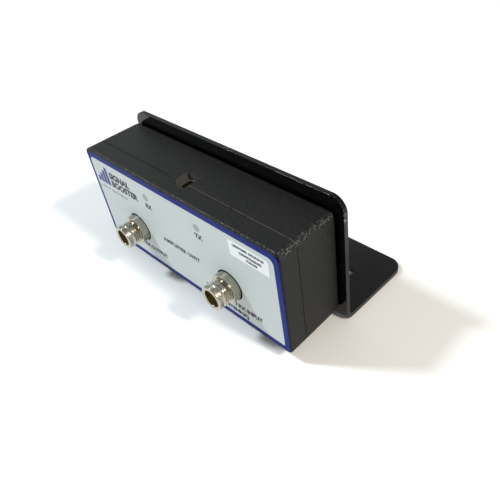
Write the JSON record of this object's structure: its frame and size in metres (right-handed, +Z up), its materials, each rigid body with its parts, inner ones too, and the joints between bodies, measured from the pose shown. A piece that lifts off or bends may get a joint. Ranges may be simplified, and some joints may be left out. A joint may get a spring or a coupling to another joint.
{
  "type": "cellular signal booster",
  "caption": "Two-port antenna amplifier in a flat snap-together case with a bordered face label, screwed to an upright L bracket whose foot runs back under it.",
  "frame": {"origin": "on the surface it stands on, under the middle of the whole object's box", "axes": "+X along the case to its right seen from the front, +Y back along the bracket's foot, +Z up; the ports face -Y"},
  "size_m": [0.1782, 0.1142, 0.0874],
  "materials": {
    "black_painted_steel": "gloss black paint on steel sheet",
    "black_plastic": "fine moulded texture, semi-matt",
    "label_film": "grey printed overlay with a blue border",
    "white_sticker": "satin white",
    "window_film": "grey translucent window",
    "nickel": "nickel plating, polished",
    "gold": "gold plating",
    "insulator": "white insulator",
    "cast_aluminium": "chromated casting",
    "zinc": "zinc plated",
    "board": "green solder mask",
    "package": "moulded package",
    "ceramic": "ceramic and metal package",
    "lamp": "clear green lamp"
  },
  "bodies": {
    "base": {"bracket": "black_painted_steel", "rear_case": "black_plastic", "chassis": "cast_aluminium", "chassis_lid": "cast_aluminium", "receive_heat_block": "cast_aluminium", "transmit_heat_block": "cast_aluminium", "capacitor_1": "cast_aluminium", "capacitor_2": "cast_aluminium", "circuit_board": "board", "rf_switch": "package", "regulator": "package", "bias_choke": "package", "receive_amplifier": "ceramic", "transmit_amplifier": "ceramic", "led_rx": "lamp", "led_tx": "lamp", "duplexer_left": "zinc", "duplexer_right": "zinc", "port_left_shell": "nickel", "port_left_insulator": "insulator", "port_left_contact": "gold", "flange_screw_left_1": "zinc", "flange_screw_left_2": "zinc", "flange_screw_left_3": "zinc", "flange_screw_left_4": "zinc", "port_right_shell": "nickel", "port_right_insulator": "insulator", "port_right_contact": "gold", "flange_screw_right_1": "zinc", "flange_screw_right_2": "zinc", "flange_screw_right_3": "zinc", "flange_screw_right_4": "zinc", "lid_screw_1": "zinc", "lid_screw_2": "zinc", "lid_screw_3": "zinc", "lid_screw_4": "zinc", "board_screw_1": "zinc", "board_screw_2": "zinc", "board_screw_3": "zinc", "board_screw_4": "zinc", "bracket_screw_1": "zinc", "bracket_screw_2": "zinc", "bracket_screw_3": "zinc", "bracket_screw_4": "zinc"},
    "cover": {"front_cover": "black_plastic", "face_label": "label_film", "serial_sticker": "white_sticker", "led_window_rx": "window_film", "led_window_tx": "window_film"},
    "latch_upper": {"latch_top": "black_plastic"},
    "latch_lower": {"latch_bottom": "black_plastic"}
  },
  "joints": [
    {"name": "cover_slide", "type": "slide", "parent": "base", "child": "cover", "axis": [0, -1, 0], "range_m": [0, 0.045]},
    {"name": "latch_top_press", "type": "hinge", "parent": "base", "child": "latch_upper", "pos_m": [-0.00245, -0.0118, 0.07275], "axis": [1, 0, 0], "range_deg": [0, 4], "stiffness_Nm_per_rad": 0.5},
    {"name": "latch_bottom_press", "type": "hinge", "parent": "base", "child": "latch_lower", "pos_m": [-0.00145, -0.0118, 0.01375], "axis": [-1, 0, 0], "range_deg": [0, 4], "stiffness_Nm_per_rad": 0.5}
  ]
}
